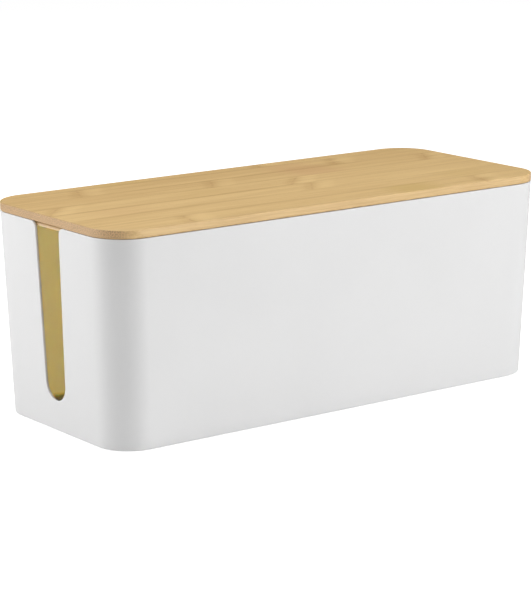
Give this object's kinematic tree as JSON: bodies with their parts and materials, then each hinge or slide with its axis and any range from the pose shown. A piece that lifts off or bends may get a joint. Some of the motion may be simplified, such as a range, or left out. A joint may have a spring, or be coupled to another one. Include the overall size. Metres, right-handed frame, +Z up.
{
  "type": "cable management box",
  "caption": "Drafted plastic tub with a U-shaped cable slot in each short end, closed by a laminated bamboo lid that lifts off.",
  "frame": {"origin": "middle of the footprint, on the surface the feet stand on", "axes": "+X along the box's length towards the right-hand slot, +Y from the front long wall to the rear one, +Z up"},
  "size_m": [0.4, 0.169, 0.1594],
  "materials": {
    "white_plastic": "fine satin moulded texture",
    "bamboo": "sanded bamboo with a thin matt lacquer, grain along the length",
    "bamboo_board": "sanded bamboo, unlacquered",
    "grey_rubber": "matt"
  },
  "bodies": {
    "box": {"box_shell": "white_plastic", "foot_front_left": "grey_rubber", "foot_front_right": "grey_rubber", "foot_rear_left": "grey_rubber", "foot_rear_right": "grey_rubber"},
    "lid": {"lid_strip_1": "bamboo", "lid_strip_2": "bamboo", "lid_strip_3": "bamboo", "lid_strip_4": "bamboo", "lid_strip_5": "bamboo", "lid_strip_6": "bamboo", "lid_strip_7": "bamboo", "lid_backing_board": "bamboo_board"}
  },
  "joints": [
    {"name": "lid_lift", "type": "slide", "parent": "box", "child": "lid", "axis": [0, 0, 1], "range_m": [0, 0.12]}
  ]
}
